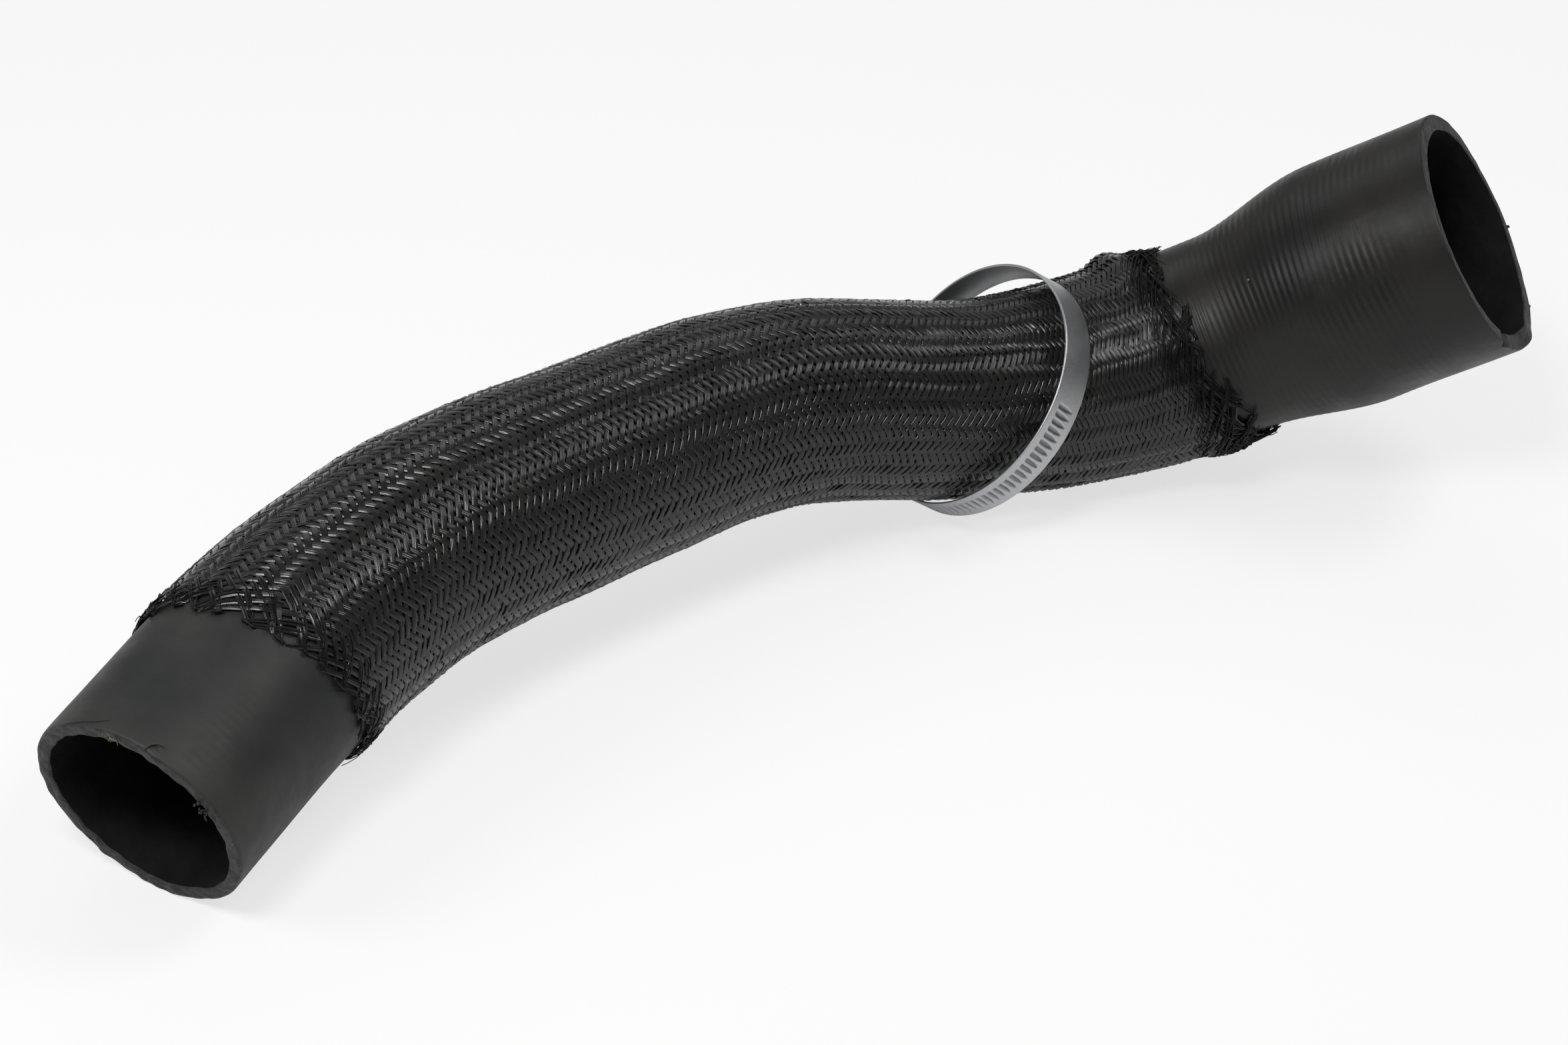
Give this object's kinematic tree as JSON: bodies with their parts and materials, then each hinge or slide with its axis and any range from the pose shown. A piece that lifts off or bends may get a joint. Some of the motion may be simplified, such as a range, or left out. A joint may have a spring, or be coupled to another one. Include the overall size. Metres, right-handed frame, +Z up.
{
  "type": "charge air hose",
  "caption": "Moulded rubber charge air hose with a bell mouth, a braided protective sleeve and a loose worm-drive clamp.",
  "frame": {"origin": "the middle of the bounding box's base, on the floor that the hose lies on", "axes": "+X along the hose from the plain cuff to the bell mouth, +Z up"},
  "size_m": [0.5283, 0.1587, 0.1383],
  "materials": {
    "rubber": "matt black rubber with faint wrap marks",
    "braid": "glossy black plastic filament, braided",
    "band_steel": "satin strip steel",
    "housing_steel": "satin pressed steel",
    "screw_steel": "zinc-plated steel"
  },
  "bodies": {
    "hose_body": {"hose": "rubber", "braided_sleeve": "braid", "clamp_band": "band_steel", "clamp_housing": "housing_steel"},
    "worm_screw": {"clamp_screw": "screw_steel"}
  },
  "joints": [
    {"name": "screw_turn", "type": "hinge", "parent": "hose_body", "child": "worm_screw", "pos_m": [0.07712, 0.07018, 0.02092], "axis": [0.5731, 0.3959, 0.7175], "continuous": true}
  ]
}
